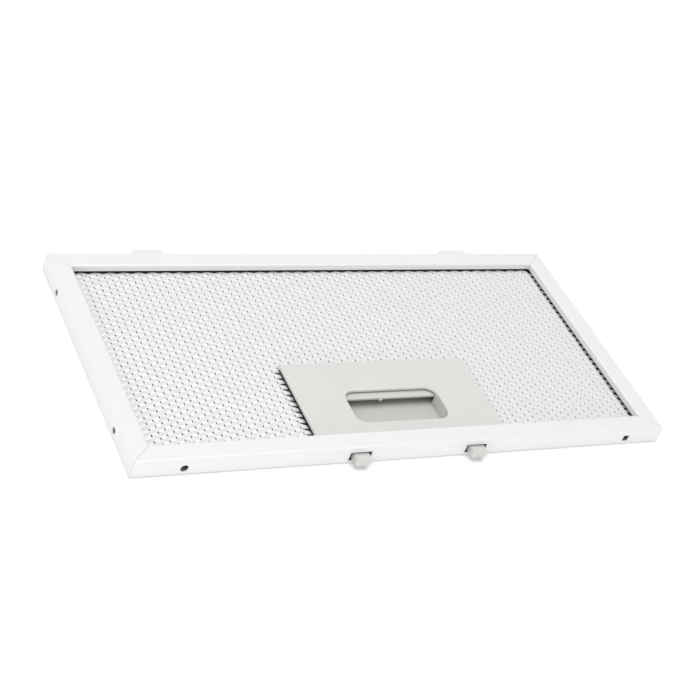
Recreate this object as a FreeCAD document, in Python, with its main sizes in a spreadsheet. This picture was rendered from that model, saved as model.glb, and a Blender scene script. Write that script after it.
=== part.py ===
"""Metal grease filter cassette for a cooker hood, with a sprung two-tongue latch.

Frame of reference: millimetres, +Z up, X along the long side, +Y from the latch side to the fixed-tab
side. The origin is the centre of the cassette's bottom face.
"""
import FreeCAD, Part
import os
import re
import Sketcher

TOLERANCE = 1e-4      # places closer than this count as one, in mm
LEAST_CUT = 1e-3      # a pocket takes away more than this, in mm3

doc = FreeCAD.newDocument("grease_filter")

# ---------------------------------------------------------------------------------------------------
# Driving dimensions
# ---------------------------------------------------------------------------------------------------
SIZES = [
    ("frame_width", 270, "outside, along X"),
    ("frame_depth", 133, "outside, along Y"),
    ("frame_height", 9.2, "outside, along Z"),
    ("sheet", 0.6, "thickness of the rails' sheet"),
    ("flange", 9.5, "width of a rail's top and bottom flange"),
    ("lip_drop", 3.2, "how far the return lip's edge is below the top"),
    ("bend_radius", 0.9, "outside radius of the rails' bends"),
    ("mitre_shift", 0.06, "how far each rail stops short of the mitre line"),
    ("hole_diameter", 3.6, "round drain hole in a long rail"),
    ("square_hole", 3.3, "side of the punched square hole"),
    ("side_hole_diameter", 3.2, "drain hole in a short rail"),
    ("hole_height", 3.8, "height of the drain holes' centres"),
    ("hole_inset_wide", 23.2, "from the corner to the further drain hole"),
    ("hole_inset_near", 20.3, "from the corner to the nearer drain hole"),
    ("side_hole_front", 23.8, "from the front corner to a short rail's hole"),
    ("side_hole_rear", 21.5, "from the rear corner to a short rail's hole"),
    ("tongue_pitch", 59.4, "between the two tongues' centre lines"),
    ("slot_width", 10.7, "tongue slot in the front wall"),
    ("slot_height", 4.8, "tongue slot in the front wall"),
    ("slot_bottom", 1.6, "height of the tongue slot's lower edge"),
    ("tab_pitch", 168.6, "between the two fixed tabs' centre lines"),
    ("tab_width", 15.6, "fixed tab, where it leaves the wall"),
    ("tab_head_width", 21, "fixed tab's head, inside the rail"),
    ("tab_thickness", 1.2, "fixed tab"),
    ("tab_reach", 5.3, "how far the fixed tabs stand out"),
    ("tab_round", 1.5, "radius of the fixed tabs' outer corners"),
    ("slot_play", 0.15, "room round a fixed tab in its slot"),
    ("key_leg", 19, "length of a corner key's legs, from the outer corner"),
    ("key_play", 0.1, "room round a corner key"),
    ("key_round", 0.75, "radius of a corner key's end corners"),
    ("mesh_base", 0.62, "height of the lowest mesh layer"),
    ("mesh_top", 5.4, "height of the top face of the mesh pack"),
    ("guard_height", 1.5, "the two outer mesh sheets, over their raised strands"),
    ("filter_sheets", 4, "flatter sheets between them"),
    ("mesh_gap", 0.02, "between two sheets"),
    ("mesh_edge_gap", 0.4, "between the sheets' edges and the rails' walls"),
    ("cover_width", 96.2, "latch cover, along X"),
    ("cover_front", -56.8, "front edge of the latch cover and the tray"),
    ("cover_back", -10.8, "back edge of the latch cover"),
    ("cover_top", 7.6, "height of the latch cover's face"),
    ("cover_thickness", 1.2, "latch cover's plate"),
    ("cover_round", 0.45, "radius of the latch cover's top edges"),
    ("window_width", 48, "finger window, along X"),
    ("window_front", -49.8, "front edge of the finger window"),
    ("window_back", -29.6, "back edge of the finger window"),
    ("window_corner", 5.5, "radius of the finger window's corners"),
    ("wall", 1.3, "latch cover's and tray's walls"),
    ("skirt_back", -33.4, "where the walls beside the window end"),
    ("skirt_bottom", 1, "height of those walls' lower edge"),
    ("tray_width", 82, "latch tray, along X"),
    ("tray_back", -12, "outside of the tray's back wall"),
    ("tray_floor", 0.9, "height of the tray's floor"),
    ("tray_flange", 3, "how far the tray's flange reaches under the mesh"),
    ("tray_flange_thickness", 0.55, "tray's flange"),
    ("tray_play", 0.3, "between the tray and the cut-out in the mesh"),
    ("peg_radius", 1.45, "latch cover's snap pegs"),
    ("peg_bore", 1.5, "bore that a snap peg goes into"),
    ("peg_length", 3.8, "latch cover's snap pegs"),
    ("boss_radius", 2.2, "tray's peg bosses"),
    ("boss_inset", 3.6, "from the tray's side to a boss's centre"),
    ("boss_front", -52, "front bosses"),
    ("boss_back", -16.5, "back bosses"),
    ("tongue_width", 7.2, "slider's arms and tongues"),
    ("tongue_top", 5.7, "height of the slider's top face"),
    ("tongue_bottom", 2, "height of the slider's underside"),
    ("tongue_reach", 4.6, "how far the tongues stand out at rest"),
    ("tongue_bevel", 0.8, "rise of the tongue's underside at its tip"),
    ("tongue_round", 1.1, "radius of the tongue's tip corners"),
    ("bar_front", -33.1, "finger edge of the slider"),
    ("bar_back", -25, "back face of the slider"),
    ("bar_width", 72.8, "slider's cross bar"),
    ("bar_thickness", 1.4, "slider's finger plate"),
    ("finger_round", 0.5, "radius of the finger edge"),
    ("gate_radius", 0.8, "moulding gate left on the finger edge"),
    ("gate_place", -4.8, "moulding gate, along X"),
    ("gate_height", 0.9, "moulding gate"),
    ("runner_width", 4, "tray's runners under the slider's arms"),
    ("guide_width", 1, "tray's guides beside the slider's arms"),
    ("slide_play", 0.3, "room beside a sliding face"),
    ("run_play", 0.05, "room under a running face"),
    ("spring_pitch", 40, "between the two springs' axes"),
    ("spring_radius", 1.7, "mean radius of a spring's coils"),
    ("spring_wire", 0.45, "diameter of a spring's wire"),
    ("spring_turns", 9, "turns of a spring"),
    ("spring_height", 3.4, "height of the springs' axes"),
    ("pin_radius", 1.1, "pins that the springs sit on"),
    ("pin_length", 3, "pins that the springs sit on"),
    ("cut_margin", 1, "how far a through cut starts and ends outside the material"),
]

sheet = doc.addObject("Spreadsheet::Sheet", "Sizes")
for row, (alias, size, note) in enumerate(SIZES, start=1):
    sheet.set(f"A{row}", alias)
    sheet.set(f"B{row}", str(size))
    sheet.set(f"C{row}", note)
    sheet.setAlias(f"B{row}", alias)
doc.recompute()


# ---------------------------------------------------------------------------------------------------
# Helpers
# ---------------------------------------------------------------------------------------------------
def sized(text):
    """Write an expression of size names as one that reads them from the sheet."""
    return re.sub(r"[a-z]\w*", lambda name: "Sizes." + name.group(0), text)


def value(text):
    """The number that an expression of size names gives."""
    return float(sheet.evalExpression(sized(text)))


def new_body(label, place=("0", "0", "0"), turn=0):
    """A body at a place given by three expressions, turned about Z by an angle in degrees."""
    body = doc.addObject("PartDesign::Body", label)
    body.Label = label
    body.Placement.Rotation = FreeCAD.Rotation(FreeCAD.Vector(0, 0, 1), turn)
    for axis, text in zip("xyz", place):
        body.setExpression(f"Placement.Base.{axis}", sized(text))
    return body


def new_sketch(body, name, plane, offset="0"):
    """An empty sketch on one of the body's origin planes, moved along the plane's normal."""
    sketch = body.newObject("Sketcher::SketchObject", name)
    support = next(item for item in body.Origin.OriginFeatures if item.Role == plane)
    sketch.AttachmentSupport = (support, [""])
    sketch.MapMode = "FlatFace"
    sketch.setExpression("AttachmentOffset.Base.z", sized(offset))
    return sketch


def hold(sketch, axis, element, point, text):
    """Hold a point of an element at a signed distance from the sketch's origin along one axis."""
    place = value(text)
    kind = "Distance" + axis
    if abs(place) < TOLERANCE:
        sketch.addConstraint(Sketcher.Constraint("PointOnObject", element, point, -2 if axis == "X" else -1))
    elif place > 0:
        index = sketch.addConstraint(Sketcher.Constraint(kind, -1, 1, element, point, place))
        sketch.setExpression(f"Constraints[{index}]", sized(text))
    else:
        index = sketch.addConstraint(Sketcher.Constraint(kind, element, point, -1, 1, -place))
        sketch.setExpression(f"Constraints[{index}]", f"-({sized(text)})")


def add_outline(sketch, corners):
    """A closed outline of straight lines through corners, each a pair of expressions."""
    points = [FreeCAD.Vector(value(across), value(up), 0) for across, up in corners]
    first = sketch.GeometryCount
    for start, end in zip(points, points[1:] + points[:1]):
        sketch.addGeometry(Part.LineSegment(start, end), False)
    for index, (across, up) in enumerate(corners):
        line = first + index
        following = first + (index + 1) % len(corners)
        sketch.addConstraint(Sketcher.Constraint("Coincident", line, 2, following, 1))
        hold(sketch, "X", line, 1, across)
        hold(sketch, "Y", line, 1, up)


def add_rectangle(sketch, left, right, low, high):
    add_outline(sketch, [(left, low), (right, low), (right, high), (left, high)])


def add_circle(sketch, across, up, radius):
    centre = FreeCAD.Vector(value(across), value(up), 0)
    circle = sketch.addGeometry(Part.Circle(centre, FreeCAD.Vector(0, 0, 1), value(radius)), False)
    hold(sketch, "X", circle, 3, across)
    hold(sketch, "Y", circle, 3, up)
    index = sketch.addConstraint(Sketcher.Constraint("Radius", circle, value(radius)))
    sketch.setExpression(f"Constraints[{index}]", sized(radius))


def pad(body, sketch, length, backwards=False):
    """Add material along the sketch's normal, or against it."""
    feature = body.newObject("PartDesign::Pad", sketch.Name + "_pad")
    feature.Profile = sketch
    feature.setExpression("Length", sized(length))
    feature.Reversed = backwards
    return feature


def pocket(body, sketch, depth, along_normal=False):
    """Cut against the sketch's normal, or along it, and make sure that something was cut."""
    doc.recompute()
    before = body.Shape.Volume
    feature = body.newObject("PartDesign::Pocket", sketch.Name + "_pocket")
    feature.Profile = sketch
    feature.setExpression("Length", sized(depth))
    feature.Reversed = along_normal
    doc.recompute()
    if body.Shape.Volume > before - LEAST_CUT:
        raise RuntimeError(f"{feature.Name} cuts nothing")
    return feature


def round_edges(body, name, radius, chosen):
    """Fillet the edges of the body for which chosen(edge) is true."""
    doc.recompute()
    base = body.Tip
    names = [f"Edge{index}" for index, edge in enumerate(base.Shape.Edges, start=1) if chosen(edge)]
    if not names:
        raise RuntimeError(f"{name} finds no edge")
    feature = body.newObject("PartDesign::Fillet", name)
    feature.Base = (base, names)
    feature.setExpression("Radius", sized(radius))
    return feature


def near(first, second):
    return abs(first - second) < TOLERANCE


def runs_along(edge, axis, **places):
    """True for a straight edge along one axis at the given coordinates on the others."""
    if not isinstance(edge.Curve, Part.Line):
        return False
    direction = edge.Curve.Direction
    if not near(abs(getattr(direction, axis)), 1):
        return False
    middle = edge.CenterOfMass
    return all(near(getattr(middle, letter), place) for letter, place in places.items())


# ---------------------------------------------------------------------------------------------------
# Frame: four mitred rails. Each is drawn along X with its outer face at y = 0 and turned into place.
# ---------------------------------------------------------------------------------------------------
def rail(label, length, place, turn):
    body = new_body(label, place, turn)
    profile = new_sketch(body, label + "_profile", "YZ_Plane", f"-{length} / 2")
    add_outline(profile, [
        ("0", "0"),
        ("flange", "0"),
        ("flange", "sheet"),
        ("sheet", "sheet"),
        ("sheet", "frame_height - sheet"),
        ("flange - sheet", "frame_height - sheet"),
        ("flange - sheet", "frame_height - lip_drop"),
        ("flange", "frame_height - lip_drop"),
        ("flange", "frame_height"),
        ("0", "frame_height"),
    ])
    pad(body, profile, length)

    inner = value("sheet")
    top = value("frame_height")
    width = value("flange")
    outside_bends = [(0, 0), (0, top), (width, top)]
    inside_bends = [(inner, inner), (inner, top - inner), (width - inner, top - inner)]
    round_edges(body, label + "_outer_bends", "bend_radius",
                lambda edge: any(runs_along(edge, "x", y=y, z=z) for y, z in outside_bends))
    round_edges(body, label + "_inner_bends", "bend_radius - sheet",
                lambda edge: any(runs_along(edge, "x", y=y, z=z) for y, z in inside_bends))

    mitres = new_sketch(body, label + "_mitres", "XY_Plane", "frame_height + cut_margin")
    for side in ("", "-"):
        add_outline(mitres, [
            (f"{side}({length} / 2 + flange - mitre_shift)", "-flange"),
            (f"{side}({length} / 2 + flange - mitre_shift)", "2 * flange"),
            (f"{side}({length} / 2 - 2 * flange - mitre_shift)", "2 * flange"),
        ])
    pocket(body, mitres, "frame_height + 2 * cut_margin")
    return body


def wall_sketch(body, name):
    """A sketch on the outer face of a rail's wall. Its cut goes inwards."""
    return new_sketch(body, name, "XZ_Plane")


def drain_holes(body, places, radius):
    """Round holes through the wall at places along the rail."""
    sketch = wall_sketch(body, body.Name + "_drain_holes")
    for place in places:
        add_circle(sketch, place, "hole_height", radius)
    pocket(body, sketch, "2 * sheet")


front_rail = rail("front_rail", "frame_width", ("0", "-frame_depth / 2", "0"), 0)
right_rail = rail("right_rail", "frame_depth", ("frame_width / 2", "0", "0"), 90)
rear_rail = rail("rear_rail", "frame_width", ("0", "frame_depth / 2", "0"), 180)
left_rail = rail("left_rail", "frame_depth", ("-frame_width / 2", "0", "0"), 270)

drain_holes(front_rail, ["hole_inset_wide - frame_width / 2"], "hole_diameter / 2")
drain_holes(rear_rail, ["hole_inset_wide - frame_width / 2", "frame_width / 2 - hole_inset_near"],
            "hole_diameter / 2")
drain_holes(right_rail, ["side_hole_front - frame_depth / 2", "frame_depth / 2 - side_hole_rear"],
            "side_hole_diameter / 2")
drain_holes(left_rail, ["side_hole_rear - frame_depth / 2", "frame_depth / 2 - side_hole_front"],
            "side_hole_diameter / 2")

square = wall_sketch(front_rail, "front_rail_square_hole")
add_rectangle(square,
              "frame_width / 2 - hole_inset_near - square_hole / 2",
              "frame_width / 2 - hole_inset_near + square_hole / 2",
              "hole_height - square_hole / 2", "hole_height + square_hole / 2")
pocket(front_rail, square, "2 * sheet")

tongue_slots = wall_sketch(front_rail, "front_rail_tongue_slots")
for side in ("-", ""):
    add_rectangle(tongue_slots,
                  f"{side}tongue_pitch / 2 - slot_width / 2", f"{side}tongue_pitch / 2 + slot_width / 2",
                  "slot_bottom", "slot_bottom + slot_height")
pocket(front_rail, tongue_slots, "2 * sheet")

TAB_BASE = "mesh_top + key_play / 2"
tab_slots = wall_sketch(rear_rail, "rear_rail_tab_slots")
for side in ("-", ""):
    add_rectangle(tab_slots,
                  f"{side}tab_pitch / 2 - tab_width / 2 - slot_play",
                  f"{side}tab_pitch / 2 + tab_width / 2 + slot_play",
                  f"{TAB_BASE} - slot_play", f"{TAB_BASE} + tab_thickness + slot_play")
pocket(rear_rail, tab_slots, "2 * sheet")


# ---------------------------------------------------------------------------------------------------
# Corner keys: an angle in the upper half of the channel at each corner, over the mesh pack
# ---------------------------------------------------------------------------------------------------
def corner_key(label, place, turn):
    body = new_body(label, place, turn)
    outline = new_sketch(body, label + "_outline", "XY_Plane", "mesh_top + key_play")
    near_wall = "(sheet + key_play)"
    near_lip = "(flange - sheet - key_play)"
    add_outline(outline, [
        (near_wall, near_wall),
        ("key_leg", near_wall),
        ("key_leg", near_lip),
        (near_lip, near_lip),
        (near_lip, "key_leg"),
        (near_wall, "key_leg"),
    ])
    pad(body, outline, "frame_height - sheet - mesh_top - 2 * key_play")
    round_edges(body, label + "_ends", "key_round",
                lambda edge: runs_along(edge, "z") and max(edge.CenterOfMass.x, edge.CenterOfMass.y)
                > value("key_leg") - TOLERANCE)
    return body


corner_key("corner_key_front_left", ("-frame_width / 2", "-frame_depth / 2", "0"), 0)
corner_key("corner_key_front_right", ("frame_width / 2", "-frame_depth / 2", "0"), 90)
corner_key("corner_key_rear_right", ("frame_width / 2", "frame_depth / 2", "0"), 180)
corner_key("corner_key_rear_left", ("-frame_width / 2", "frame_depth / 2", "0"), 270)


# ---------------------------------------------------------------------------------------------------
# Fixed tabs: a flat T whose head is held in the rear rail's channel
# ---------------------------------------------------------------------------------------------------
def rear_tab(label, side):
    body = new_body(label, (f"{side}tab_pitch / 2", "frame_depth / 2", TAB_BASE))
    outline = new_sketch(body, label + "_outline", "XY_Plane")
    head_front = "slot_play + sheet - flange"
    head_back = "-sheet - slot_play"
    add_outline(outline, [
        ("-tab_head_width / 2", head_front),
        ("tab_head_width / 2", head_front),
        ("tab_head_width / 2", head_back),
        ("tab_width / 2", head_back),
        ("tab_width / 2", "tab_reach"),
        ("-tab_width / 2", "tab_reach"),
        ("-tab_width / 2", head_back),
        ("-tab_head_width / 2", head_back),
    ])
    pad(body, outline, "tab_thickness")
    round_edges(body, label + "_corners", "tab_round",
                lambda edge: runs_along(edge, "z") and near(edge.CenterOfMass.y, value("tab_reach")))
    return body


rear_tab("rear_tab_left", "-")
rear_tab("rear_tab_right", "")


# ---------------------------------------------------------------------------------------------------
# Mesh pack: two raised outer sheets and the flatter ones between them, cut out round the latch tray
# ---------------------------------------------------------------------------------------------------
FILTER_STEP = "(mesh_top - mesh_base - 2 * guard_height - mesh_gap) / filter_sheets"


def mesh_sheet(label, base, height):
    body = new_body(label, ("0", "0", base))
    outline = new_sketch(body, label + "_outline", "XY_Plane")
    side = "(frame_width / 2 - sheet - mesh_edge_gap)"
    end = "(frame_depth / 2 - sheet - mesh_edge_gap)"
    cut_side = "(tray_width / 2 + tray_play)"
    cut_back = "tray_back + tray_play"
    add_outline(outline, [
        ("-" + side, "-" + end),
        ("-" + cut_side, "-" + end),
        ("-" + cut_side, cut_back),
        (cut_side, cut_back),
        (cut_side, "-" + end),
        (side, "-" + end),
        (side, end),
        ("-" + side, end),
    ])
    pad(body, outline, height)
    return body


mesh_sheet("bottom_guard_mesh", "mesh_base", "guard_height")
for number in range(round(value("filter_sheets"))):
    mesh_sheet(f"filter_mesh_{number + 1}",
               f"mesh_base + guard_height + mesh_gap + {number} * {FILTER_STEP}",
               f"{FILTER_STEP} - mesh_gap")
mesh_sheet("top_guard_mesh", "mesh_top - guard_height", "guard_height")


# ---------------------------------------------------------------------------------------------------
# Latch cover: plate, finger window, the walls under it and four snap pegs
# ---------------------------------------------------------------------------------------------------
PEGS = [(f"{side}(tray_width / 2 - boss_inset)", place) for side in ("-", "")
        for place in ("boss_front", "boss_back")]
COVER_BASE = "cover_top - cover_thickness"

latch_cover = new_body("latch_cover")
plate = new_sketch(latch_cover, "cover_plate", "XY_Plane", COVER_BASE)
add_rectangle(plate, "-cover_width / 2", "cover_width / 2", "cover_front", "cover_back")
pad(latch_cover, plate, "cover_thickness")
skirt = new_sketch(latch_cover, "cover_skirt", "XY_Plane", "skirt_bottom")
add_rectangle(skirt, "-window_width / 2 - wall", "window_width / 2 + wall",
              "window_front - wall", "skirt_back")
pad(latch_cover, skirt, f"{COVER_BASE} - skirt_bottom")
window = new_sketch(latch_cover, "finger_window", "XY_Plane", "cover_top + cut_margin")
add_rectangle(window, "-window_width / 2", "window_width / 2", "window_front", "window_back")
pocket(latch_cover, window, "cover_top + 2 * cut_margin")
round_edges(latch_cover, "window_corners", "window_corner",
            lambda edge: runs_along(edge, "z") and near(abs(edge.CenterOfMass.x), value("window_width / 2"))
            and (near(edge.CenterOfMass.y, value("window_front"))
                 or near(edge.CenterOfMass.y, value("window_back"))))
round_edges(latch_cover, "skirt_corners", "window_corner + wall",
            lambda edge: runs_along(edge, "z", y=value("window_front - wall")))
round_edges(latch_cover, "cover_top_edges", "cover_round",
            lambda edge: near(edge.CenterOfMass.z, value("cover_top")))
pegs = new_sketch(latch_cover, "snap_pegs", "XY_Plane", COVER_BASE)
for across, along in PEGS:
    add_circle(pegs, across, along, "peg_radius")
pad(latch_cover, pegs, "peg_length", backwards=True)


# ---------------------------------------------------------------------------------------------------
# Latch tray: floor, flange under the mesh, walls, runners, guides, peg bosses and spring pins
# ---------------------------------------------------------------------------------------------------
ARM_INNER = "(tongue_pitch / 2 - tongue_width / 2)"
ARM_OUTER = "(tongue_pitch / 2 + tongue_width / 2)"
GUIDE_INNER = f"({ARM_OUTER} + slide_play)"
TRAY_SIDE = "tray_width / 2"

latch_tray = new_body("latch_tray")
flange = new_sketch(latch_tray, "tray_flange_outline", "XY_Plane")
add_rectangle(flange, f"-{TRAY_SIDE} - tray_flange", f"{TRAY_SIDE} + tray_flange",
              "cover_front", "tray_back + tray_flange")
pad(latch_tray, flange, "tray_flange_thickness")
floor = new_sketch(latch_tray, "tray_floor_outline", "XY_Plane")
add_rectangle(floor, f"-{TRAY_SIDE}", TRAY_SIDE, "cover_front", "tray_back")
pad(latch_tray, floor, "tray_floor")

walls = new_sketch(latch_tray, "tray_walls", "XY_Plane", "tray_floor")
add_outline(walls, [
    (f"-{TRAY_SIDE}", "cover_front"),
    (f"-{GUIDE_INNER}", "cover_front"),
    (f"-{GUIDE_INNER}", "cover_front + wall"),
    (f"-({TRAY_SIDE} - wall)", "cover_front + wall"),
    (f"-({TRAY_SIDE} - wall)", "tray_back - wall"),
    (f"{TRAY_SIDE} - wall", "tray_back - wall"),
    (f"{TRAY_SIDE} - wall", "cover_front + wall"),
    (GUIDE_INNER, "cover_front + wall"),
    (GUIDE_INNER, "cover_front"),
    (TRAY_SIDE, "cover_front"),
    (TRAY_SIDE, "tray_back"),
    (f"-{TRAY_SIDE}", "tray_back"),
])
pad(latch_tray, walls, f"{COVER_BASE} - tray_floor")
front_wall = new_sketch(latch_tray, "tray_front_wall", "XY_Plane", "tray_floor")
add_rectangle(front_wall, f"-({ARM_INNER} - slide_play)", f"{ARM_INNER} - slide_play",
              "cover_front", "cover_front + wall")
pad(latch_tray, front_wall, f"{COVER_BASE} - tray_floor")

guides = new_sketch(latch_tray, "tray_guides", "XY_Plane", "tray_floor")
add_rectangle(guides, GUIDE_INNER, f"{GUIDE_INNER} + guide_width", "cover_front + wall",
              "bar_front - 2 * run_play")
add_rectangle(guides, f"-{GUIDE_INNER} - guide_width", f"-{GUIDE_INNER}", "cover_front + wall",
              "bar_front - 2 * run_play")
pad(latch_tray, guides, "tongue_top - tray_floor")
runners = new_sketch(latch_tray, "tray_runners", "XY_Plane", "tray_floor")
for side in ("-", ""):
    add_rectangle(runners, f"{side}tongue_pitch / 2 - runner_width / 2",
                  f"{side}tongue_pitch / 2 + runner_width / 2", "cover_front + wall",
                  "bar_back - wall - slide_play")
pad(latch_tray, runners, "tongue_bottom - run_play - tray_floor")

bosses = new_sketch(latch_tray, "tray_bosses", "XY_Plane", "tray_floor")
for across, along in PEGS:
    add_circle(bosses, across, along, "boss_radius")
pad(latch_tray, bosses, f"{COVER_BASE} - tray_floor")
bores = new_sketch(latch_tray, "tray_peg_bores", "XY_Plane", COVER_BASE)
for across, along in PEGS:
    add_circle(bores, across, along, "peg_bore")
pocket(latch_tray, bores, "peg_length + slide_play")
tray_pins = new_sketch(latch_tray, "tray_spring_pins", "XZ_Plane", "-(tray_back - wall)")
for side in ("-", ""):
    add_circle(tray_pins, f"{side}spring_pitch / 2", "spring_height", "pin_radius")
pad(latch_tray, tray_pins, "pin_length")


# ---------------------------------------------------------------------------------------------------
# Latch slider: finger plate, two arms that end in the tongues, spring rib and pins
# ---------------------------------------------------------------------------------------------------
latch_slider = new_body("latch_slider")
finger_plate = new_sketch(latch_slider, "finger_plate", "XY_Plane", "tongue_top - bar_thickness")
add_rectangle(finger_plate, "-bar_width / 2", "bar_width / 2", "bar_front", "bar_back")
pad(latch_slider, finger_plate, "bar_thickness")
tongue_tip = value("-frame_depth / 2 - tongue_reach")
for name, edge_place in (("left_arm", f"-{ARM_OUTER}"), ("right_arm", ARM_INNER)):
    arm = new_sketch(latch_slider, name, "YZ_Plane", edge_place)
    add_outline(arm, [
        ("-frame_depth / 2 - tongue_reach", "tongue_bottom + tongue_bevel"),
        ("-frame_depth / 2", "tongue_bottom"),
        ("bar_back", "tongue_bottom"),
        ("bar_back", "tongue_top"),
        ("-frame_depth / 2 - tongue_reach", "tongue_top"),
    ])
    pad(latch_slider, arm, "tongue_width")
rib = new_sketch(latch_slider, "spring_rib", "XY_Plane", "tray_floor + slide_play")
add_rectangle(rib, "-bar_width / 2", "bar_width / 2", "bar_back - wall", "bar_back")
pad(latch_slider, rib, "tongue_top - tray_floor - slide_play")
slider_pins = new_sketch(latch_slider, "slider_spring_pins", "XZ_Plane", "-bar_back")
for side in ("-", ""):
    add_circle(slider_pins, f"{side}spring_pitch / 2", "spring_height", "pin_radius")
pad(latch_slider, slider_pins, "pin_length", backwards=True)
round_edges(latch_slider, "tongue_corners", "tongue_round",
            lambda edge: runs_along(edge, "z", y=tongue_tip))
round_edges(latch_slider, "finger_edge", "finger_round",
            lambda edge: runs_along(edge, "x", y=value("bar_front"), z=value("tongue_top"))
            or runs_along(edge, "x", y=value("bar_front"), z=value("tongue_top - bar_thickness")))
gate = new_sketch(latch_slider, "moulding_gate", "XY_Plane", "tongue_top - bar_thickness")
add_circle(gate, "gate_place", "bar_front", "gate_radius")
pad(latch_slider, gate, "gate_height")


# ---------------------------------------------------------------------------------------------------
# Return springs: open coils between the slider's rib and the tray's back wall
# ---------------------------------------------------------------------------------------------------
def return_spring(label, side):
    """A coil along Y. The wire stops half a wire's width short of the faces that it pushes on."""
    span = "(tray_back - wall - bar_back - spring_wire - 2 * run_play)"
    helix = doc.addObject("Part::Helix", label + "_line")
    helix.setExpression("Height", sized(span))
    helix.setExpression("Pitch", sized(f"{span} / spring_turns"))
    helix.setExpression("Radius", sized("spring_radius"))
    section = doc.addObject("Part::Circle", label + "_section")
    section.setExpression("Radius", sized("spring_wire / 2"))
    section.Placement.Rotation = FreeCAD.Rotation(FreeCAD.Vector(1, 0, 0), 90)
    section.setExpression("Placement.Base.x", sized("spring_radius"))
    coil = doc.addObject("Part::Sweep", label)
    coil.Label = label
    coil.Sections = [section]
    coil.Spine = (helix, [])
    coil.Solid = True
    coil.Frenet = True
    coil.Placement.Rotation = FreeCAD.Rotation(FreeCAD.Vector(1, 0, 0), -90)
    coil.setExpression("Placement.Base.x", sized(f"{side}spring_pitch / 2"))
    coil.setExpression("Placement.Base.y", sized("bar_back + spring_wire / 2 + run_play"))
    coil.setExpression("Placement.Base.z", sized("spring_height"))
    return coil


return_spring("return_spring_left", "-")
return_spring("return_spring_right", "")

# ---------------------------------------------------------------------------------------------------
# Check and write
# ---------------------------------------------------------------------------------------------------
doc.recompute()
failed = [item.Label for item in doc.Objects if {"Invalid", "Error"} & set(item.State)]
if failed:
    raise RuntimeError("objects failed: " + ", ".join(failed))

sub_parts = [item for item in doc.Objects if item.TypeId in ("PartDesign::Body", "Part::Sweep")]
for item in sub_parts:
    if item.Shape.isNull() or not item.Shape.isValid() or not item.Shape.Solids:
        raise RuntimeError(f"{item.Label} has no valid solid")

os.makedirs("parts", exist_ok=True)
for item in sub_parts:
    item.Shape.exportStep(f"parts/{item.Label}.step")
    print(f"{item.Label}: {item.Shape.Volume:.1f} mm3")
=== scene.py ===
import math

import bpy
import numpy as np
from mathutils import Matrix, Vector


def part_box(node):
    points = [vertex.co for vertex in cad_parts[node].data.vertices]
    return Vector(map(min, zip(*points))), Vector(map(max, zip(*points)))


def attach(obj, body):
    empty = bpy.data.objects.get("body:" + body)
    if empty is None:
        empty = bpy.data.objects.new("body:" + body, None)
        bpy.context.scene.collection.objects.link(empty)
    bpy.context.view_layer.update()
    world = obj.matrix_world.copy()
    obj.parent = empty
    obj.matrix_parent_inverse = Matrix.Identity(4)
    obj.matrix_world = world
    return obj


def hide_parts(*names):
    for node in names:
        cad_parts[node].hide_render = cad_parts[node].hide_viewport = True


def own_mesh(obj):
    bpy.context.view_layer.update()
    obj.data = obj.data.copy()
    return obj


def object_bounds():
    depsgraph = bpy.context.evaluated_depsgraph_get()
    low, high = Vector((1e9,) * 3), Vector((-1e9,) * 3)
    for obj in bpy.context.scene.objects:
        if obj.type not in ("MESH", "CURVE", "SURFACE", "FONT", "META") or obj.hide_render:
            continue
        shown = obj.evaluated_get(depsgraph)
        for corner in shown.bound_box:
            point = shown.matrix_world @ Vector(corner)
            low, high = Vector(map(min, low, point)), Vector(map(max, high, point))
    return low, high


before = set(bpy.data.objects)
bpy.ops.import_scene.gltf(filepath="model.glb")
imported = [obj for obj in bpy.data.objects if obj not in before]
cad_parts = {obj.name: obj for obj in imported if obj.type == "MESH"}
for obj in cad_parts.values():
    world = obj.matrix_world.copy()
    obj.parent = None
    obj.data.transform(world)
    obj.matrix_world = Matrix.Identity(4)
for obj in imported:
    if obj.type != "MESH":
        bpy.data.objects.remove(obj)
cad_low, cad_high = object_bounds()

# Looks of a cooker-hood grease filter cassette. Lengths are in metres.
MM = 0.001
scene = bpy.context.scene
scene.view_settings.view_transform = "Standard"


# ---------------------------------------------------------------- camera

def place_camera(azimuth, elevation, roll, distance, aim, lens):
    """A camera at that bearing from its aim point, turned about its own axis by roll."""
    outward = Vector((
        math.sin(azimuth) * math.cos(elevation),
        -math.cos(azimuth) * math.cos(elevation),
        math.sin(elevation),
    ))
    level = (-outward).to_track_quat("-Z", "Y").to_matrix().to_4x4()
    rolled = Matrix.Rotation(roll, 4, "Z")
    camera = bpy.data.objects.new("camera", bpy.data.cameras.new("camera"))
    camera.matrix_world = Matrix.Translation(aim + outward * distance) @ level @ rolled
    camera.data.lens = lens
    camera.data.clip_start = 0.01
    camera.data.clip_end = 50
    scene.collection.objects.link(camera)
    scene.camera = camera


guard_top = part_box("top_guard_mesh")[1].z
place_camera(
    azimuth=math.radians(-37.30),
    elevation=math.radians(36.24),
    roll=math.radians(22.39),
    distance=0.7635,
    aim=Vector((-5.8 * MM, 0.4 * MM, guard_top - 0.8 * MM)),
    lens=84.81,
)


# ---------------------------------------------------------------- studio

STUDIO_CENTRE = Vector((0, 0, 0))


def add_floor(size, thickness):
    """A plain pale floor with its top at the height that the part stands on."""
    ends = (-size / 2, size / 2)
    verts = [(x, y, z) for z in (-thickness, 0) for y in ends for x in ends]
    faces = [
        (0, 2, 3, 1), (4, 5, 7, 6),
        (0, 1, 5, 4), (2, 6, 7, 3),
        (0, 4, 6, 2), (1, 3, 7, 5),
    ]
    mesh = bpy.data.meshes.new("floor")
    mesh.from_pydata(verts, [], faces)
    floor = bpy.data.objects.new("floor", mesh)
    floor.location.z = cad_low.z
    scene.collection.objects.link(floor)
    return floor


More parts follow.
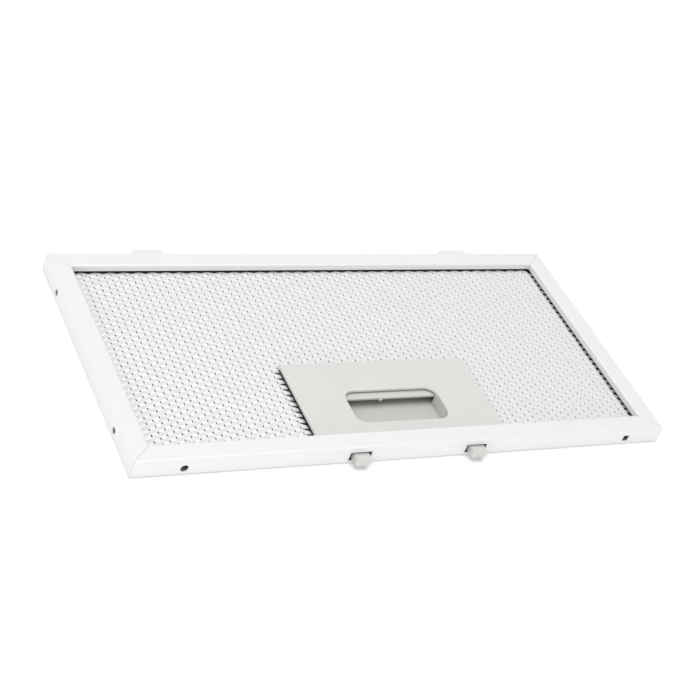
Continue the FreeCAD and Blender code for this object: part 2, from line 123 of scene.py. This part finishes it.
def add_area_light(name, place, width, depth, watts):
    """A soft box that faces the middle of the studio."""
    data = bpy.data.lights.new(name, "AREA")
    data.shape = "RECTANGLE"
    data.size = width
    data.size_y = depth
    data.energy = watts
    light = bpy.data.objects.new(name, data)
    light.location = place
    light.rotation_euler = (STUDIO_CENTRE - Vector(place)).to_track_quat("-Z", "Y").to_euler()
    scene.collection.objects.link(light)


def set_world(colour, strength):
    """Even light of one colour from all round."""
    world = bpy.data.worlds.new("studio")
    world.use_nodes = True
    background = world.node_tree.nodes["Background"]
    background.inputs["Color"].default_value = (*colour, 1)
    background.inputs["Strength"].default_value = strength
    scene.world = world


floor = add_floor(size=8.0, thickness=0.02)
set_world(colour=(1.0, 1.0, 1.0), strength=0.66)
add_area_light("overhead", place=(0, 0.1, 1.3), width=1.1, depth=1.1, watts=10.5)
add_area_light("key", place=(-1.2, -0.2, 0.9), width=1.0, depth=1.0, watts=4.5)
add_area_light("front_fill", place=(-0.5, -1.5, 0.22), width=1.4, depth=0.4, watts=7)


# ---------------------------------------------------------------- materials

# Sockets of a Mix node that blends colours; its sockets share names, so they go by number.
MIX_FACTOR = 0
MIX_FIRST = 6
MIX_SECOND = 7
MIX_RESULT = 2


class Surface:
    """One procedural material: a Principled shader and helpers that add nodes in front of it."""

    def __init__(self, name, colour, metallic, roughness, specular=0.5):
        self.material = bpy.data.materials.new(name)
        self.material.use_nodes = True
        self.material.diffuse_color = (*colour, 1)
        self.nodes = self.material.node_tree.nodes
        self.links = self.material.node_tree.links
        self.shader = self.nodes["Principled BSDF"]
        self.colour = colour
        self.set(self.shader, "Base Color", (*colour, 1))
        self.set(self.shader, "Metallic", metallic)
        self.set(self.shader, "Roughness", roughness)
        self.set(self.shader, "Specular IOR Level", specular)
        self.place = self.nodes.new("ShaderNodeTexCoord").outputs["Object"]
        self.normal = None

    def set(self, node, socket, value):
        """Links an output to a socket, or sets a plain value on it."""
        if isinstance(value, bpy.types.NodeSocket):
            self.links.new(value, node.inputs[socket])
        else:
            node.inputs[socket].default_value = value

    def node(self, kind, **inputs):
        """Adds a node and sets its inputs by name."""
        made = self.nodes.new(kind)
        for socket, value in inputs.items():
            self.set(made, socket, value)
        return made

    def noise(self, size, detail, stretch=(1, 1, 1)):
        """Noise whose grain is about size metres, longer by stretch along each axis."""
        scaled = self.node("ShaderNodeMapping", Vector=self.place)
        self.set(scaled, "Scale", tuple(1 / (size * s) for s in stretch))
        made = self.node("ShaderNodeTexNoise", Vector=scaled.outputs[0], Scale=1.0, Detail=detail)
        return made.outputs["Fac"]

    def spread(self, value, low, high, edge_low=0.3, edge_high=0.7):
        """Maps a value that runs from edge_low to edge_high onto the range from low to high."""
        ranged = self.node("ShaderNodeMapRange", Value=value)
        self.set(ranged, "From Min", edge_low)
        self.set(ranged, "From Max", edge_high)
        self.set(ranged, "To Min", low)
        self.set(ranged, "To Max", high)
        return ranged.outputs["Result"]

    def tint(self, value, other, strength=1.0):
        """Blends the colour so far towards another where value is high."""
        mix = self.nodes.new("ShaderNodeMix")
        mix.data_type = "RGBA"
        current = self.shader.inputs["Base Color"]
        if current.links:
            self.links.new(current.links[0].from_socket, mix.inputs[MIX_FIRST])
        else:
            mix.inputs[MIX_FIRST].default_value = (*self.colour, 1)
        mix.inputs[MIX_SECOND].default_value = (*other, 1)
        amount = self.node("ShaderNodeMath")
        amount.operation = "MULTIPLY"
        self.links.new(value, amount.inputs[0])
        amount.inputs[1].default_value = strength
        self.links.new(amount.outputs[0], mix.inputs[MIX_FACTOR])
        self.links.new(mix.outputs[MIX_RESULT], current)

    def bump(self, height, strength, distance):
        """Adds relief of up to distance metres to what is there already."""
        made = self.node("ShaderNodeBump", Strength=strength, Distance=distance, Height=height)
        if self.normal is not None:
            self.links.new(self.normal, made.inputs["Normal"])
        self.normal = made.outputs["Normal"]
        self.links.new(self.normal, self.shader.inputs["Normal"])

    def roughen(self, value):
        """Lets a value set the roughness."""
        self.links.new(value, self.shader.inputs["Roughness"])


def darkened(colour, share):
    """A colour with only that share of its brightness."""
    return tuple(c * share for c in colour)


def rolled_sheet(name, along):
    """Satin aluminium sheet, with fine rolling lines along one axis and faint handling marks."""
    surface = Surface(name, colour=(0.715, 0.717, 0.728), metallic=0.08, roughness=0.42)
    line_stretch = [1, 1, 1]
    line_stretch[along] = 120
    lines = surface.noise(size=0.35 * MM, detail=2.0, stretch=line_stretch)
    haze = surface.noise(size=22 * MM, detail=3.0)
    marks = surface.noise(size=0.9 * MM, detail=4.0, stretch=(7, 7, 1))
    haze_share = surface.spread(haze, low=0, high=1)
    mark_share = surface.spread(marks, low=0, high=1, edge_low=0.62, edge_high=0.75)
    surface.tint(haze_share, other=(0.700, 0.702, 0.713), strength=0.6)
    surface.tint(mark_share, other=(0.670, 0.672, 0.683), strength=0.35)
    surface.roughen(surface.spread(lines, low=0.34, high=0.47))
    surface.bump(lines, strength=0.35, distance=0.02 * MM)
    surface.bump(haze, strength=0.25, distance=0.30 * MM)
    return surface.material


def moulded_plastic(name, colour, roughness, grain):
    """Pale moulded plastic with a fine spark-eroded grain and slow colour drift."""
    surface = Surface(name, colour, metallic=0.0, roughness=roughness, specular=0.42)
    fine = surface.noise(size=grain, detail=2.0)
    drift = surface.noise(size=14 * MM, detail=2.0)
    darker = darkened(colour, 0.94)
    surface.tint(surface.spread(drift, low=0, high=1), darker, strength=0.5)
    surface.tint(surface.spread(fine, low=0, high=1), darker, strength=0.25)
    surface.roughen(surface.spread(fine, low=roughness - 0.05, high=roughness + 0.07))
    surface.bump(fine, strength=0.30, distance=0.03 * MM)
    surface.bump(drift, strength=0.15, distance=0.12 * MM)
    return surface.material


def strand_metal(name, colour):
    """Slit-and-stretched aluminium: fine streaks, dull sheared patches and specks. Bright on the
    guards; the inner filter sheets get a dark colour as painted shade.
    """
    surface = Surface(name, colour, metallic=0.25, roughness=0.45)
    patches = surface.noise(size=1.6 * MM, detail=3.0)
    specks = surface.noise(size=0.55 * MM, detail=1.0)
    streaks = surface.noise(size=0.12 * MM, detail=2.0, stretch=(10, 2, 2))
    darker = darkened(colour, 0.80)
    speck_share = surface.spread(specks, low=0, high=1, edge_low=0.42, edge_high=0.58)
    surface.tint(surface.spread(patches, low=0, high=1), darker, strength=0.45)
    surface.tint(speck_share, darker, strength=0.65)
    surface.roughen(surface.spread(patches, low=0.30, high=0.52))
    surface.bump(streaks, strength=0.35, distance=0.02 * MM)
    return surface.material


def drawn_wire(name):
    """Plain spring wire with faint drawing lines and a little oil darkening."""
    surface = Surface(name, colour=(0.50, 0.50, 0.51), metallic=1.0, roughness=0.32)
    film = surface.noise(size=1.2 * MM, detail=3.0)
    lines = surface.noise(size=0.08 * MM, detail=2.0, stretch=(4, 1, 4))
    surface.tint(surface.spread(film, low=0, high=1), other=(0.36, 0.36, 0.37), strength=0.6)
    surface.roughen(surface.spread(film, low=0.26, high=0.42))
    surface.bump(lines, strength=0.25, distance=0.01 * MM)
    return surface.material


def floor_paper(name):
    """Seamless studio paper, almost white, with a fine tooth."""
    surface = Surface(name, colour=(0.97, 0.97, 0.97), metallic=0.0, roughness=0.85, specular=0.2)
    tooth = surface.noise(size=0.8 * MM, detail=3.0)
    surface.tint(surface.spread(tooth, low=0, high=1), other=(0.96, 0.96, 0.96))
    surface.bump(tooth, strength=0.1, distance=0.02 * MM)
    return surface.material


def paint(node, material):
    """Gives a carried-over CAD node its material."""
    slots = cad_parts[node].material_slots
    for place in slots:
        place.material = material
    if not slots:
        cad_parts[node].data.materials.append(material)


X_AXIS = 0
Y_AXIS = 1
floor.data.materials.append(floor_paper("studio_paper"))
sheet_x = rolled_sheet("rolled_sheet_x", along=X_AXIS)
sheet_y = rolled_sheet("rolled_sheet_y", along=Y_AXIS)
cover_plastic = moulded_plastic(
    "cover_plastic", colour=(0.590, 0.590, 0.570), roughness=0.48, grain=0.22 * MM)
# The tray is coloured darker than the cover and the slider: painted shade for the deep latch pocket
# that it lines.
tray_plastic = moulded_plastic(
    "tray_plastic", colour=(0.49, 0.49, 0.472), roughness=0.50, grain=0.22 * MM)
slider_plastic = moulded_plastic(
    "slider_plastic", colour=(0.545, 0.545, 0.525), roughness=0.44, grain=0.18 * MM)
key_plastic = moulded_plastic(
    "key_plastic", colour=(0.10, 0.10, 0.105), roughness=0.50, grain=0.25 * MM)
guard_metal = strand_metal("guard_metal", colour=(0.775, 0.775, 0.780))
# The filter sheets are the same bright aluminium as the guards; their near-black colour is painted
# shade for the dark inside of the cassette, seen through the guard's holes.
painted_shade_filter_metal = strand_metal("painted_shade_filter_metal", colour=(0.18, 0.18, 0.183))
spring_metal = drawn_wire("spring_metal")

for node_name in ("front_rail", "rear_rail"):
    paint(node_name, sheet_x)
for node_name in ("left_rail", "right_rail", "rear_tab_left", "rear_tab_right"):
    paint(node_name, sheet_y)
for corner_name in ("front_left", "front_right", "rear_left", "rear_right"):
    paint("corner_key_" + corner_name, key_plastic)
paint("latch_cover", cover_plastic)
paint("latch_tray", tray_plastic)
paint("latch_slider", slider_plastic)


# ---------------------------------------------------------------- pieces

def add_piece(name, verts, faces, material, sharp_angle):
    """A mesh object with smooth faces and creases wherever it turns by more than the angle."""
    mesh = bpy.data.meshes.new(name)
    mesh.from_pydata([tuple(v) for v in verts], [], [tuple(f) for f in faces])
    mesh.materials.append(material)
    mesh.shade_smooth()
    mesh.set_sharp_from_angle(angle=sharp_angle)
    mesh.update()
    piece = bpy.data.objects.new(name, mesh)
    scene.collection.objects.link(piece)
    return piece


# ---------------------------------------------------------------- mesh sheets

PITCH_X = 6.9 * MM           # one opening of a mesh sheet to the next along X
PITCH_Y = 3.57 * MM          # and along Y; the rows between them are half a pitch aside
EDGE_MARGIN = 0.3 * MM       # free strip between a sheet and the edge of its CAD node's box
SHEET_CREASE = math.radians(35)

# Every sheet has a cutout for the latch tray, whose rim stands out by the flange from its walls.
TRAY_FLANGE = 3.0 * MM
TRAY_GAP = 0.3 * MM          # free strip between a sheet and the tray's wall
tray_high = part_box("latch_tray")[1]
NOTCH_HALF_WIDTH = tray_high.x - TRAY_FLANGE + TRAY_GAP
NOTCH_BACK = tray_high.y - TRAY_FLANGE + TRAY_GAP

WAVES = 7                    # waves that add up to a sheet's irregularity
WAVE_LENGTH = 9 * MM
WAVE_LENGTH_RANGE = (0.6, 1.8)  # shortest and longest, as shares of that


def wander(points, seed, amount):
    """Small smooth displacements, so that no two openings are quite the same."""
    random = np.random.default_rng(seed)
    moved = np.zeros_like(points)
    for _ in range(WAVES):
        direction = random.normal(size=2)
        direction /= np.linalg.norm(direction)
        phase = random.uniform(0, 2 * math.pi, size=3)
        length = WAVE_LENGTH * random.uniform(*WAVE_LENGTH_RANGE)
        travelled = points[:, :2] @ direction * (2 * math.pi / length)
        moved += np.sin(travelled[:, None] + phase) / math.sqrt(WAVES)
    return points + moved * np.array(amount)


def lay_sheet(name, node, verts, faces, seed, sway, material):
    """Makes a mesh sheet irregular by sway and puts it in the place of its CAD node."""
    piece = add_piece(name, wander(np.array(verts), seed, sway), faces, material, SHEET_CREASE)
    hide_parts(node)
    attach(piece, "cassette")


# A strand's wave is -1 where it touches the row in front and 1 where it touches the row behind.
# It counts as touching from here on.
TOUCHING = 1 - 1e-6
FILTER_SWAY = (0.08 * MM, 0.06 * MM, 0.03 * MM)


def expanded_sheet(name, node, strand, gauge, tilt, bond, steps, origin, seed, material):
    """A sheet of expanded metal: rows of strands, tilted about X, that touch the row behind and
    the row in front in turn. strand is their width, bond the length of the joint between two rows,
    steps the number of places between joints and origin the place that the pattern starts from.
    Joined rows share vertices, so the sheet is one closed mesh."""
    low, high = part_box(node)
    middle = (low.z + high.z) / 2
    half_pitch = PITCH_X / 2
    row_pitch = PITCH_Y / 2
    side = math.cos(tilt) * strand / 2
    lift = math.sin(tilt) * strand / 2

    first_joint = math.floor((low.x - origin[0]) / half_pitch)
    joints = np.arange(first_joint, math.ceil((high.x - origin[0]) / half_pitch))
    share = np.linspace(0, 1, steps + 2)
    along = joints[:, None] * half_pitch + bond / 2 + share * (half_pitch - bond)
    column = origin[0] + along.ravel()
    bend = np.cos(math.pi * share)
    wave = (np.where(joints % 2 == 0, 1, -1)[:, None] * bend).ravel()
    keep = (column > low.x + EDGE_MARGIN) & (column < high.x - EDGE_MARGIN)
    column = column[keep]
    wave = wave[keep]
    first_row = math.ceil((low.y + strand / 2 + EDGE_MARGIN - origin[1]) / row_pitch)
    last_row = math.floor((high.y - strand / 2 - EDGE_MARGIN - origin[1]) / row_pitch)
    rows = last_row - first_row + 1

    # A strand's section: its front edge, upper and lower, and then its back edge.
    section = []
    for across, up in ((-1, 1), (-1, -1), (1, 1), (1, -1)):
        section.append((
            across * side - up * math.sin(tilt) * gauge / 2,
            across * lift + up * math.cos(tilt) * gauge / 2,
        ))

    # index holds the vertices of a section by row and column, with an empty border all round.
    verts = []
    index = np.full((rows + 2, len(column) + 2, len(section)), -1)
    for row in range(1, rows + 1):
        line = first_row + row - 1
        own = wave * (1 if line % 2 == 0 else -1)
        centre_y = origin[1] + line * row_pitch + own * (row_pitch / 2 - side)
        beside_tray = origin[1] + (line - 1) * row_pitch < NOTCH_BACK
        for i, x in enumerate(column):
            if beside_tray and abs(x) < NOTCH_HALF_WIDTH:
                continue
            touches = own[i] < -TOUCHING and index[row - 1, i + 1, 0] >= 0
            for c, (dy, dz) in enumerate(section):
                if touches and c < 2:
                    index[row, i + 1, c] = index[row - 1, i + 1, c + 2]
                else:
                    index[row, i + 1, c] = len(verts)
                    verts.append((x, centre_y[i] + dy, middle - own[i] * lift + dz))

    # a and b are the sections at the two ends of a stretch of strand. The stretch has a wall
    # wherever the row in front, the row behind or its own row doesn't go on.
    faces = []
    for row in range(1, rows + 1):
        for i in range(1, len(column)):
            a = index[row, i]
            b = index[row, i + 1]
            if a[0] < 0 or b[0] < 0:
                continue
            faces.append((a[0], b[0], b[2], a[2]))
            faces.append((a[1], a[3], b[3], b[1]))
            if a[0] != index[row - 1, i, 2] or b[0] != index[row - 1, i + 1, 2]:
                faces.append((a[0], a[1], b[1], b[0]))
            if a[2] != index[row + 1, i, 0] or b[2] != index[row + 1, i + 1, 0]:
                faces.append((a[2], b[2], b[3], a[3]))
            if index[row, i - 1, 0] < 0:
                faces.append((a[0], a[2], a[3], a[1]))
            if index[row, i + 2, 0] < 0:
                faces.append((b[0], b[1], b[3], b[2]))
    lay_sheet(name, node, verts, faces, seed, FILTER_SWAY, material)


def thicken(tops):
    """The faces of a sheet, from its upper faces: those, the lower face under each of them, and a
    wall on every edge that only one of them has. Each lower vertex has the number after that of the
    upper vertex above it."""
    faces = []
    borders = set()
    for top in tops:
        faces.append(top)
        faces.append(tuple(v + 1 for v in reversed(top)))
        for start, end in zip(top, top[1:] + top[:1]):
            if (end, start) in borders:
                borders.remove((end, start))
            else:
                borders.add((start, end))
    for start, end in sorted(borders):
        faces.append((end, start, start + 1, end + 1))
    return faces


# Round each hole the sheet is bent along a ring. Its reach is a share of the half width of the
# hole's cell, at the ring's middle and at its corners, and of the cell's half depth.
RING_MIDDLE_REACH = 0.5
RING_CORNER_REACH = 0.44
RING_DEPTH_REACH = 0.80
# The eight places round a cell, in steps of half its width and half its depth.
CELL_EDGE = ((1, 0), (1, 1), (0, 1), (-1, 1), (-1, 0), (-1, -1), (0, -1), (1, -1))
CELL_BACK = (0, 1)
# The middle of one cell.
HOLE_ORIGIN_X = 0.5 * MM
HOLE_ORIGIN_Y = 0.2 * MM
GUARD_SWAY = (0.10 * MM, 0.08 * MM, 0.04 * MM)


def pierced_sheet(
    name, node, outline, notch, scallop,
    gauge, relief, lip, hole_x, hole_y, slant, seed, material,
):
    """A guard of slit and barely stretched sheet. Every short slit has opened to a small hole,
    hole_x by hole_y, which leans by slant. The metal is raised by relief on the hole's left and
    pressed down by it on the right, and its rim adds lip to that. Each hole has its own cell, and
    the cells lie like bricks, each row half a pitch aside from the next. outline is the sheet's
    left, right, front and back, notch the left, right and back of its cutout, and scallop how far
    the back edge bulges behind each cell."""
    low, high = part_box(node)
    middle = (low.z + high.z) / 2
    left, right, front, back = outline
    notch_left, notch_right, notch_back = notch
    half_x = PITCH_X / 2
    half_y = PITCH_Y / 4
    sides = len(CELL_EDGE)
    ring = []
    rim = []
    for k, (step_x, step_y) in enumerate(CELL_EDGE):
        reach = RING_MIDDLE_REACH if step_y == 0 else RING_CORNER_REACH
        ring.append((step_x * half_x * reach, step_y * half_y * RING_DEPTH_REACH))
        angle = 2 * math.pi * k / sides
        rim_y = math.sin(angle) * hole_y / 2
        rim.append((math.cos(angle) * hole_x / 2 + slant * rim_y, rim_y, -math.cos(angle) * lip))

    def height(x, y):
        """How far the sheet is raised at a place that is given from the middle of its cell."""
        return -relief * math.sin(math.pi * x / half_x) * math.cos(math.pi * y / (2 * half_y))

    verts = []

    def add_pair(x, y, z):
        """Adds the upper and the lower vertex at one place, and gives the upper one's number."""
        verts.append((x, y, middle + z + gauge / 2))
        verts.append((x, y, middle + z - gauge / 2))
        return len(verts) - 2

    # cells holds each cell's three rings of pairs, and corners the pairs that cells share.
    cells = {}
    corners = {}
    for row in range(math.floor(front / half_y / 2), math.ceil(back / half_y / 2) + 1):
        y = HOLE_ORIGIN_Y + row * 2 * half_y
        if y - half_y < front or y + half_y > back:
            continue
        last_row = y + 3 * half_y > back
        for column in range(math.floor(left / half_x), math.ceil(right / half_x) + 1):
            x = HOLE_ORIGIN_X + column * half_x
            between_cells = (column + row) % 2 == 1
            inside = left <= x - half_x and x + half_x <= right
            across_notch = notch_left < x + half_x and x - half_x < notch_right
            over_tray = y - half_y < notch_back and across_notch
            if between_cells or not inside or over_tray:
                continue
            edge = []
            for step_x, step_y in CELL_EDGE:
                key = (column + step_x, 2 * row + step_y)
                if key not in corners:
                    bulge = scallop if last_row and (step_x, step_y) == CELL_BACK else 0
                    corners[key] = add_pair(x + step_x * half_x, y + step_y * half_y + bulge, 0)
                edge.append(corners[key])
            pressed = [add_pair(x + dx, y + dy, height(dx, dy)) for dx, dy in ring]
            opening = [add_pair(x + dx, y + dy, height(dx, dy) + dz) for dx, dy, dz in rim]
            cells[column, row] = (edge, pressed, opening)

    # tops holds the upper faces. A row that stops half a pitch short of the rows beside it leaves a
    # square notch in the cut edge. Beside the cutout the half in front of the notch's diagonal is
    # filled, as two triangles; at the sheet's own ends the notch stays square.
    tops = []
    for (column, row), (edge, pressed, opening) in cells.items():
        for k in range(sides):
            after = (k + 1) % sides
            tops.append((pressed[k], edge[k], edge[after], pressed[after]))
            tops.append((opening[k], pressed[k], pressed[after], opening[after]))
        for side in (-1, 1):
            far_front = corners.get((column + 2 * side, 2 * row - 1))
            far_back = corners.get((column + 2 * side, 2 * row + 1))
            next_edge = HOLE_ORIGIN_X + (column + 3 * side) * half_x
            has_neighbour = (column + 2 * side, row) in cells
            at_end = not left < next_edge < right
            if has_neighbour or far_front is None or far_back is None or at_end:
                continue
            near = [corners[column + side, 2 * row + step_y] for step_y in (-1, 0, 1)]
            tops.append((near[0], far_front, near[1])[::side])
            tops.append((near[1], far_front, near[2])[::side])

    lay_sheet(name, node, verts, thicken(tops), seed, GUARD_SWAY, material)


# The lower guard fills its CAD node. The upper one stops short under the right and rear lips and
# beside the latch cover, so that its cut edge shows there.
UNDER_RIGHT_LIP = 3.0 * MM
UNDER_REAR_LIP = 0.5 * MM
UNDER_COVER = 0.5 * MM
guard_low, guard_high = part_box("top_guard_mesh")
left_end = guard_low.x + EDGE_MARGIN
right_end = guard_high.x - EDGE_MARGIN
front_end = guard_low.y + EDGE_MARGIN
back_end = guard_high.y - EDGE_MARGIN
right_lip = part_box("right_rail")[0].x
rear_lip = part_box("rear_rail")[0].y
cover_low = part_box("latch_cover")[0]
outlines = {
    "top": (left_end, right_lip + UNDER_RIGHT_LIP, front_end, rear_lip + UNDER_REAR_LIP),
    "bottom": (left_end, right_end, front_end, back_end),
}
notches = {
    "top": (cover_low.x + UNDER_COVER, NOTCH_HALF_WIDTH, NOTCH_BACK),
    "bottom": (-NOTCH_HALF_WIDTH, NOTCH_HALF_WIDTH, NOTCH_BACK),
}
scallops = {"top": 1.1 * MM, "bottom": 0}
for face_name in ("top", "bottom"):
    pierced_sheet(
        f"{face_name}_guard_expanded",
        f"{face_name}_guard_mesh",
        outlines[face_name],
        notches[face_name],
        scallops[face_name],
        gauge=0.24 * MM,
        relief=0.16 * MM,
        lip=0.36 * MM,
        hole_x=1.08 * MM,
        hole_y=1.02 * MM,
        slant=0.5,
        seed=1,
        material=guard_metal,
    )
# The inner filter sheets take the dark filter material: painted shade for the inside of the
# cassette.
for number in (1, 2, 3, 4):
    expanded_sheet(
        f"filter_expanded_{number}",
        f"filter_mesh_{number}",
        strand=1.2 * MM,
        gauge=0.10 * MM,
        tilt=math.radians(5),
        bond=1.2 * MM,
        steps=1,
        origin=(1.3 * MM * number, 0.8 * MM * number),
        seed=3 + number,
        material=painted_shade_filter_metal,
    )


# ---------------------------------------------------------------- springs

SPRING_CREASE = math.radians(40)
# At the spring's ends the turns lie closer than even spacing by this share of it.
END_CLOSING = 0.35


def coil_spring(name, node, turns, wire, around, along):
    """A close-ended compression spring as one tube, which lies along Y inside its CAD node's box.
    It has around vertices round the wire, and along of those rings in each turn."""
    low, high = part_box(node)
    centre = (low + high) / 2
    radius = (high.x - low.x) / 2 - wire / 2
    span = high.y - low.y - wire
    steps = turns * along
    verts = []
    for i in range(steps + 1):
        share = i / steps
        closed = share - 0.5 * math.sin(2 * math.pi * share) / math.pi * END_CLOSING
        turn = 2 * math.pi * turns * share
        outward = Vector((math.cos(turn), 0, math.sin(turn)))
        path = Vector((math.cos(turn) * radius, -span / 2 + closed * span, math.sin(turn) * radius))
        for j in range(around):
            angle = 2 * math.pi * j / around
            rise = Vector((0, math.sin(angle) * wire / 2, 0))
            verts.append(centre + path + outward * math.cos(angle) * wire / 2 + rise)
    faces = []
    for i in range(steps):
        here = i * around
        beyond = (i + 1) * around
        for j in range(around):
            after = (j + 1) % around
            faces.append((here + j, beyond + j, beyond + after, here + after))
    faces.append(tuple(range(around)))
    faces.append(tuple(reversed(range(steps * around, (steps + 1) * around))))
    piece = add_piece(name, verts, faces, spring_metal, SPRING_CREASE)
    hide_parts(node)
    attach(piece, "cassette")
    return piece


for side_name in ("left", "right"):
    node_name = "return_spring_" + side_name
    spring = coil_spring(
        "spring_coil_" + side_name, node_name, turns=9, wire=0.45 * MM, around=8, along=24)
    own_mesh(spring)
